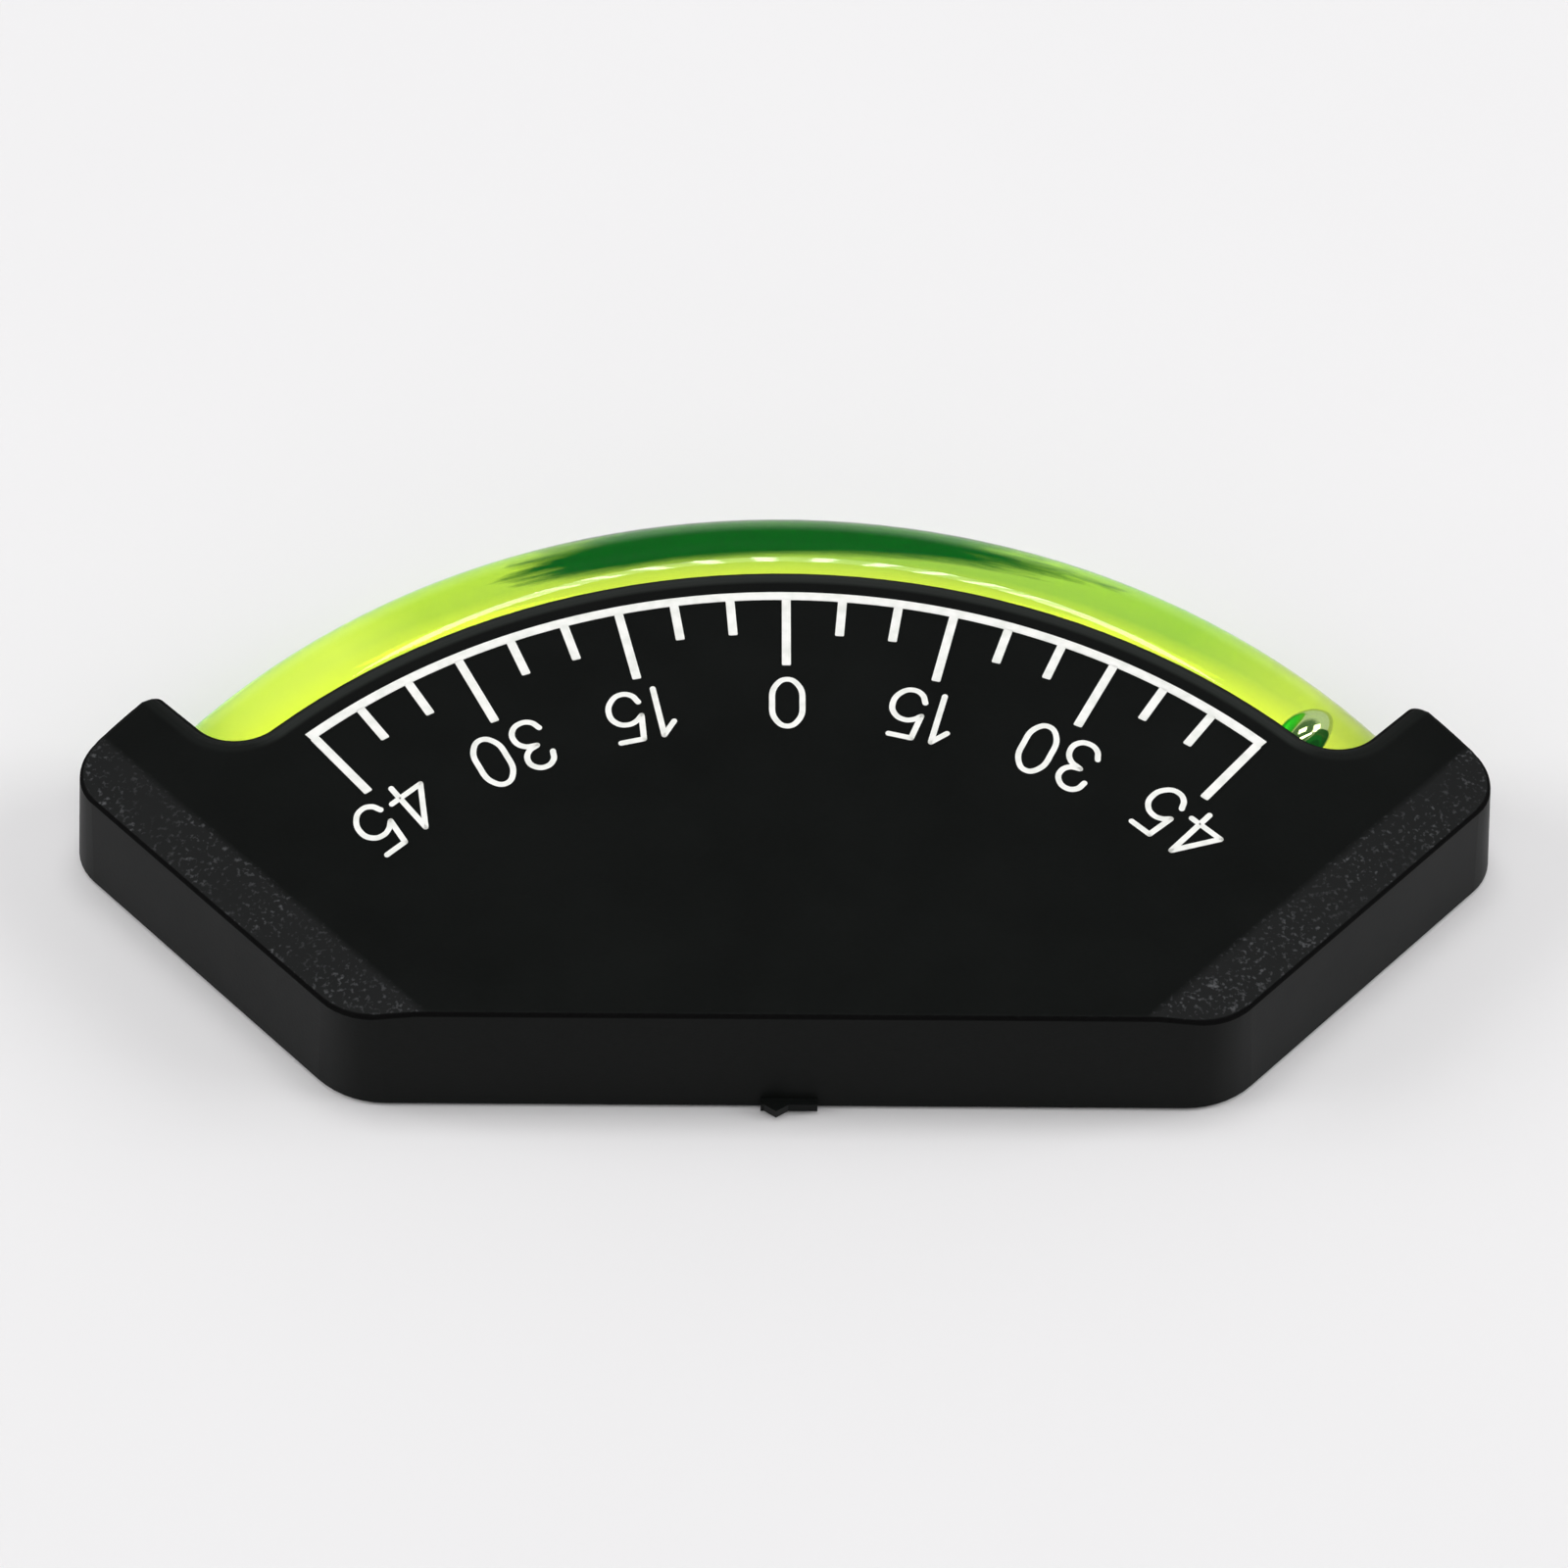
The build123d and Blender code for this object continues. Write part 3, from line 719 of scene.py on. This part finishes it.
def ink_stroke(closed, points, settings):
    """One stroke of a numeral, as flat pieces of ink on z = 0: the line, and a round knob at each of its ends."""
    height = settings.numeral_height - settings.stroke_width
    curve = bpy.data.curves.new("stroke", "CURVE")
    curve.dimensions = "3D"
    curve.resolution_u = 8
    curve.bevel_depth = settings.stroke_width / 2
    curve.bevel_resolution = 3
    curve.use_fill_caps = True
    spline = curve.splines.new("BEZIER")
    spline.use_cyclic_u = closed
    spline.bezier_points.add(len(points) - 1)
    for point, (x, y) in zip(spline.bezier_points, points):
        point.co = (x * height, y * height, 0)
        point.handle_left_type = "AUTO"
        point.handle_right_type = "AUTO"
    line = bpy.data.objects.new("stroke", curve)
    bpy.context.scene.collection.objects.link(line)
    select_only(line)
    bpy.ops.object.convert(target="MESH")
    parts = [bpy.context.active_object]
    for x, y in [] if closed else (points[0], points[-1]):
        bpy.ops.mesh.primitive_uv_sphere_add(
            segments=16, ring_count=8, radius=settings.stroke_width / 2, location=(x * height, y * height, 0)
        )
        parts.append(bpy.context.active_object)
        bpy.ops.object.transform_apply(location=True)
    for part in parts:
        select_only(part)
        bpy.ops.object.mode_set(mode="EDIT")
        bpy.ops.mesh.select_all(action="SELECT")
        bpy.ops.transform.resize(
            value=(1, 1, settings.ink_thickness / settings.stroke_width), center_override=(0, 0, 0)
        )
        bpy.ops.transform.translate(value=(0, 0, settings.ink_thickness / 2))
        bpy.ops.object.mode_set(mode="OBJECT")
    return parts


def ink_label(heading, foot, tall, slant, digits, settings):
    """The number of one tick as one piece of ink on the face, standing on its foot's line and leaning a little."""
    turn = math.radians(heading)
    outwards = Vector((math.sin(turn), math.cos(turn), 0))
    across = Vector((-math.cos(turn), math.sin(turn), 0))
    origin = ARC_CENTER + foot * MM * outwards
    place = Matrix(
        (
            (across.x, -outwards.x, 0, origin.x),
            (across.y, -outwards.y, 0, origin.y),
            (0, 0, 1, origin.z),
            (0, 0, 0, 1),
        )
    )
    parts = []
    for digit, left in digits:
        lean = Matrix(((1, math.tan(math.radians(slant)), 0, left * MM), (0, tall, 0, 0), (0, 0, 1, 0), (0, 0, 0, 1)))
        for points in NUMERAL_STROKES[digit]:
            for part in ink_stroke(digit == "0", points, settings):
                part.data.transform(place @ lean)
                parts.append(part)
    side = "left" if heading < 0 else "right"
    return joined(f"numeral_{abs(heading)}_{side}" if heading else "numeral_0", parts)


def ink_scale(settings):
    """The printed arc and its nineteen ticks as one piece of ink on the face. A tick is turned by a little less than
    its heading."""
    line, thick = settings.line_width, settings.ink_thickness
    end = math.radians(LABELS[-1][0]) * settings.tick_spread + settings.tick_width / 2 / SCALE_RADIUS

    # The arc is a small square at the left end, spun round to the right one
    start = Vector((-math.sin(end), math.cos(end), 0))
    bpy.ops.mesh.primitive_plane_add(
        size=1,
        location=ARC_CENTER + (SCALE_RADIUS - line / 2) * start + Vector((0, 0, thick / 2)),
        rotation=(math.pi / 2, 0, end + math.pi / 2),
    )
    arc = bpy.context.active_object
    arc.scale = (line, thick, 1)
    spin_round(ARC_STEPS, 2 * end, ARC_CENTER)

    # One short and one long tick hang from the arc at 0, with their corners rounded as ink's are
    bars = {}
    for length in (settings.short_tick, settings.long_tick):
        bpy.ops.mesh.primitive_cube_add(size=1, location=(0, -(length + line - TICK_LAP) / 2, thick / 2))
        bars[length] = bpy.context.active_object
        bars[length].scale = (settings.tick_width, length - line + TICK_LAP, thick)
        bpy.ops.object.transform_apply(location=True, rotation=True, scale=True)
        bpy.ops.object.mode_set(mode="EDIT")
        bpy.ops.mesh.select_mode(type="EDGE")
        bpy.ops.mesh.select_all(action="DESELECT")
        bpy.ops.object.mode_set(mode="OBJECT")
        mesh = bars[length].data
        for edge in mesh.edges:
            ends = [mesh.vertices[i].co for i in edge.vertices]
            edge.select = abs(ends[0].z - ends[1].z) > thick / 2 and ends[0].y < -line
        bpy.ops.object.mode_set(mode="EDIT")
        bpy.ops.mesh.bevel(offset=settings.tick_corner, segments=3, affect="EDGES")
        bpy.ops.object.mode_set(mode="OBJECT")
    parts = [arc]
    for heading in range(LABELS[0][0], LABELS[-1][0] + 1, TICK_STEP):
        at = math.radians(heading) * settings.tick_spread
        lean = math.radians(heading) * settings.tick_lean
        bar = bars[settings.short_tick if heading % LONG_STEP else settings.long_tick]
        tick = bpy.data.objects.new("tick", bar.data.copy())
        foot = ARC_CENTER + SCALE_RADIUS * Vector((math.sin(at), math.cos(at), 0))
        tick.data.transform(Matrix.Translation(foot) @ Matrix.Rotation(-lean, 4, "Z"))
        bpy.context.scene.collection.objects.link(tick)
        parts.append(tick)
    for bar in bars.values():
        bpy.data.objects.remove(bar)
    return joined("scale_marks", parts)


class ClinometerPrinting(bpy.types.PropertyGroup):
    """The scale and the numerals on the face."""

    line_width: FloatProperty(
        name="Line width", description="Width of the printed arc", default=0.82 * MM, unit="LENGTH"
    )
    tick_width: FloatProperty(name="Tick width", description="Width of a tick", default=0.7 * MM, unit="LENGTH")
    long_tick: FloatProperty(
        name="Long tick", description="Length of the numbered ticks", default=7.75 * MM, unit="LENGTH"
    )
    short_tick: FloatProperty(name="Short tick", description="Length of the others", default=4.45 * MM, unit="LENGTH")
    tick_corner: FloatProperty(
        name="Tick corner", description="Rounding of a tick's corners", default=0.12 * MM, unit="LENGTH"
    )
    tick_spread: FloatProperty(
        name="Tick spread",
        description="Where a tick meets the arc's outer side, as a share of its heading",
        default=0.9925,
    )
    tick_lean: FloatProperty(
        name="Tick lean", description="How far a tick is turned, as a share of its heading", default=0.888
    )
    numeral_height: FloatProperty(
        name="Numeral height", description="Height of a numeral over all", default=5.1 * MM, unit="LENGTH"
    )
    stroke_width: FloatProperty(
        name="Stroke width", description="Width of a numeral's line", default=0.47 * MM, unit="LENGTH"
    )
    ink_thickness: FloatProperty(
        name="Ink thickness", description="How far the ink stands on the face", default=0.05 * MM, unit="LENGTH"
    )


class CLINOMETER_OT_printing(bpy.types.Operator):
    """Dress the printed scale and add its seven labels"""

    bl_idname = "clinometer.printing"
    bl_label = "Scale and numerals"

    def execute(self, context):
        settings = context.scene.clinometer_printing
        ink = pad_ink()
        dress(frame["nodes"]["scale_print"], ink)
        marks = ink_scale(settings)
        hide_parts("scale_print")
        for piece in [marks, *(ink_label(*label, settings) for label in LABELS)]:
            dress(piece, ink)
            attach(piece, "body")
        return {"FINISHED"}


# Pad


def foam_tape():
    """Black closed-cell foam tape, cut from the roll: cells of 0.25 mm, which are open along its cut sides."""
    material, tree = new_material("black_foam_tape")
    place = add_node(tree, "ShaderNodeTexCoord", output="Object")
    cells = add_node(tree, "ShaderNodeTexVoronoi", {"Scale": 1 / (0.25 * MM)}, {"Vector": place}, "Distance")
    colour = [(0.0, linear("#0C0C0C")), (1.0, linear("#2E2E2E"))]
    colour = add_node(tree, "ShaderNodeValToRGB", {"stops": colour}, {"Fac": cells})
    relief = add_node(tree, "ShaderNodeBump", {"Strength": 0.6, "Distance": 0.08 * MM}, {"Height": cells})
    shader = add_node(
        tree,
        "ShaderNodeBsdfPrincipled",
        {"Roughness": 0.85, "Specular IOR Level": 0.2},
        {"Base Color": colour, "Normal": relief},
    )
    add_node(tree, "ShaderNodeOutputMaterial", links={"Surface": shader})
    return material


def release_film():
    """Red polyethylene release film: smooth, with the faint 6 mm waves of a film that was wound on a roll."""
    colours = [(0.3, linear("#B3241D")), (0.7, linear("#C72E25"))]
    return mottled("red_release_film", colours, 6 * MM, 6 * MM, (0.3, 0.1 * MM), {"Roughness": 0.28})


class CLINOMETER_OT_pad(bpy.types.Operator):
    """Dress the foam pad and its release film"""

    bl_idname = "clinometer.pad"
    bl_label = "Pad and film"

    def execute(self, context):
        dress(frame["nodes"]["mounting_pad"], foam_tape())
        dress(frame["nodes"]["release_liner"], release_film())
        return {"FINISHED"}


# Studio

# The table's side and the place of the row of small lamps, in metres
TABLE_SIDE = 6
ROW_PLACE = (0, -0.17, 0.385)

# Each soft lamp: its name, place, width and length in metres, its power in watts, and whether the gauge mirrors it
LAMPS = [
    ("overhead", (0, 0.3, 1.35), (0.8, 0.5), 7.4, False),
    ("front", (0, -0.6, 1.2), (0.9, 0.2), 1.7, False),
    ("left", (-1.3, 0.1, 0.73), (0.9, 0.7), 7.6, True),
    ("right", (1.3, 0.1, 0.73), (0.9, 0.7), 8.8, True),
]


def matt_table(settings):
    """The table: matt white laminate, very slightly uneven over 60 mm."""
    material, tree = new_material("matt_table")
    place = add_node(tree, "ShaderNodeTexCoord", output="Object")
    shade = add_node(tree, "ShaderNodeTexNoise", {"Scale": 1 / (60 * MM), "Detail": 3}, {"Vector": place})
    colour = [(0.0, settings.floor_colour), (1.0, paler(settings.floor_colour, 1.03))]
    colour = add_node(tree, "ShaderNodeValToRGB", {"stops": colour}, {"Fac": shade})
    shader = add_node(
        tree, "ShaderNodeBsdfPrincipled", {"Roughness": 0.8, "Specular IOR Level": 0.0}, {"Base Color": colour}
    )
    add_node(tree, "ShaderNodeOutputMaterial", links={"Surface": shader})
    return material


def row_light(settings):
    """The lamps in the row: in the middle each is lit over a third of its pitch, and at the sides they run together."""
    material, tree = new_material("lamp_row")
    place = add_node(tree, "ShaderNodeTexCoord", output="Object")
    along = add_node(tree, "ShaderNodeSeparateXYZ", links={"Vector": place}, output="X")
    beat = add_node(tree, "ShaderNodeMath", {"operation": "DIVIDE", 1: settings.row_pitch}, {0: along})
    beat = add_node(tree, "ShaderNodeMath", {"operation": "PINGPONG", 1: 0.5}, {0: beat})
    power = {"From Min": 0.26, "From Max": 0.38, "To Min": 2.5, "To Max": 18.0}
    power = add_node(tree, "ShaderNodeMapRange", power, {"Value": beat})
    away = add_node(tree, "ShaderNodeMath", {"operation": "ABSOLUTE"}, {0: along})
    away = add_node(tree, "ShaderNodeMapRange", rising(0.1, 0.2), {"Value": away})
    power = add_node(tree, "ShaderNodeMix", {3: 10.0}, {0: away, 2: power})
    light = add_node(tree, "ShaderNodeEmission", links={"Strength": power})
    add_node(tree, "ShaderNodeOutputMaterial", links={"Surface": light})
    return material


def studio_sky(scene):
    """Pale round the horizon and dim overhead."""
    world = bpy.data.worlds.new("studio_sky")
    world.use_nodes = True
    tree = world.node_tree
    tree.nodes.clear()
    way = add_node(tree, "ShaderNodeTexCoord", output="Generated")
    up = add_node(tree, "ShaderNodeSeparateXYZ", links={"Vector": way}, output="Z")
    colour = [(0.25, linear("#F3F3F3")), (0.6, linear("#616161"))]
    colour = add_node(tree, "ShaderNodeValToRGB", {"stops": colour}, {"Fac": up})
    air = add_node(tree, "ShaderNodeBackground", {"Strength": 1.0}, {"Color": colour})
    add_node(tree, "ShaderNodeOutputWorld", links={"Surface": air})
    scene.world = world


def add_lamp(name, place, size, power, mirrored):
    """A soft rectangular lamp that points at the object."""
    light = bpy.data.lights.new(name, "AREA")
    light.shape = "RECTANGLE"
    light.size, light.size_y = size
    light.energy = power
    lamp = bpy.data.objects.new(name, light)
    lamp.location = place
    lamp.rotation_euler = (-Vector(place)).to_track_quat("-Z", "Y").to_euler()
    lamp.visible_glossy = mirrored
    bpy.context.scene.collection.objects.link(lamp)


class ClinometerStage(bpy.types.PropertyGroup):
    """Floor, lamps and camera."""

    floor_colour: FloatVectorProperty(
        name="Floor colour", description="Of the table", default=linear("#EEEDEE"), size=4, subtype="COLOR"
    )
    row_length: FloatProperty(
        name="Row length", description="Of the row of small lamps over the camera", default=1.0, unit="LENGTH"
    )
    row_width: FloatProperty(name="Row width", description="Of the row of small lamps", default=0.08, unit="LENGTH")
    row_pitch: FloatProperty(
        name="Row pitch", description="From one small lamp to the next", default=0.033, unit="LENGTH"
    )
    lens: FloatProperty(
        name="Lens", description="Focal length", default=92.52, unit="CAMERA", subtype="DISTANCE_CAMERA"
    )
    camera_place: FloatVectorProperty(
        name="Camera place",
        description="Where the camera stands",
        default=(-3.577 * MM, -195.316 * MM, 242.735 * MM),
        subtype="TRANSLATION",
        unit="LENGTH",
    )
    camera_turn: FloatVectorProperty(
        name="Camera turn",
        description="How the camera is turned",
        default=(math.radians(40.281), math.radians(-0.7625), math.radians(-0.0793)),
        subtype="EULER",
    )


class CLINOMETER_OT_stage(bpy.types.Operator):
    """Add the table, the lamps, the sky and the camera"""

    bl_idname = "clinometer.stage"
    bl_label = "Studio"

    def execute(self, context):
        settings = context.scene.clinometer_stage
        scene = context.scene
        scene.view_settings.view_transform = "Standard"
        studio_sky(scene)

        bpy.ops.mesh.primitive_plane_add(size=TABLE_SIDE)
        floor = context.active_object
        floor.name = "floor"
        dress(floor, matt_table(settings))

        for lamp in LAMPS:
            add_lamp(*lamp)

        # A row of small lamps over the camera, seen only as the dashed line of light along the tube
        bpy.ops.mesh.primitive_plane_add(size=1)
        row = context.active_object
        row.name = "lamp_row"
        row.scale = (settings.row_length, settings.row_width, 1)
        bpy.ops.object.transform_apply(scale=True)
        row.location = ROW_PLACE
        row.rotation_euler = (-row.location).to_track_quat("-Z", "Y").to_euler()
        row.visible_diffuse = False
        row.visible_shadow = False
        dress(row, row_light(settings))

        camera = bpy.data.cameras.new("camera")
        camera.lens = settings.lens
        camera.sensor_width = 36
        camera.clip_start = 0.01
        eye = bpy.data.objects.new("camera", camera)
        eye.location = settings.camera_place
        eye.rotation_euler = settings.camera_turn
        scene.collection.objects.link(eye)
        scene.camera = eye
        return {"FINISHED"}


class CLINOMETER_PT_panel(bpy.types.Panel):
    """The clinometer's pieces and their sizes"""

    bl_idname = "CLINOMETER_PT_panel"
    bl_label = "Clinometer"
    bl_space_type = "VIEW_3D"
    bl_region_type = "UI"
    bl_category = "Clinometer"

    def draw(self, context):
        layout = self.layout
        for group, operators in PARTS:
            for operator in operators:
                layout.operator(operator)
            if group:
                settings = getattr(context.scene, group)
                for name in settings.bl_rna.properties.keys():
                    if name not in ("rna_type", "name"):
                        layout.prop(settings, name)


PARTS = [
    ("clinometer_housing", ["clinometer.housing"]),
    ("clinometer_tube", ["clinometer.tube"]),
    (None, ["clinometer.ball"]),
    ("clinometer_printing", ["clinometer.printing"]),
    (None, ["clinometer.pad"]),
    ("clinometer_stage", ["clinometer.stage"]),
]

SETTINGS = {
    "clinometer_housing": ClinometerHousing,
    "clinometer_tube": ClinometerTube,
    "clinometer_printing": ClinometerPrinting,
    "clinometer_stage": ClinometerStage,
}

CLASSES = [
    *SETTINGS.values(),
    CLINOMETER_OT_housing,
    CLINOMETER_OT_tube,
    CLINOMETER_OT_ball,
    CLINOMETER_OT_printing,
    CLINOMETER_OT_pad,
    CLINOMETER_OT_stage,
    CLINOMETER_PT_panel,
]


def register():
    for cls in CLASSES:
        bpy.utils.register_class(cls)
    for name, group in SETTINGS.items():
        setattr(bpy.types.Scene, name, PointerProperty(type=group))


def unregister():
    for name in SETTINGS:
        delattr(bpy.types.Scene, name)
    for cls in reversed(CLASSES):
        bpy.utils.unregister_class(cls)


def main():
    register()
    bpy.ops.clinometer.housing()
    bpy.ops.clinometer.tube()
    bpy.ops.clinometer.ball()
    bpy.ops.clinometer.printing()
    bpy.ops.clinometer.pad()
    bpy.ops.clinometer.stage()


if __name__ == "__main__":
    main()
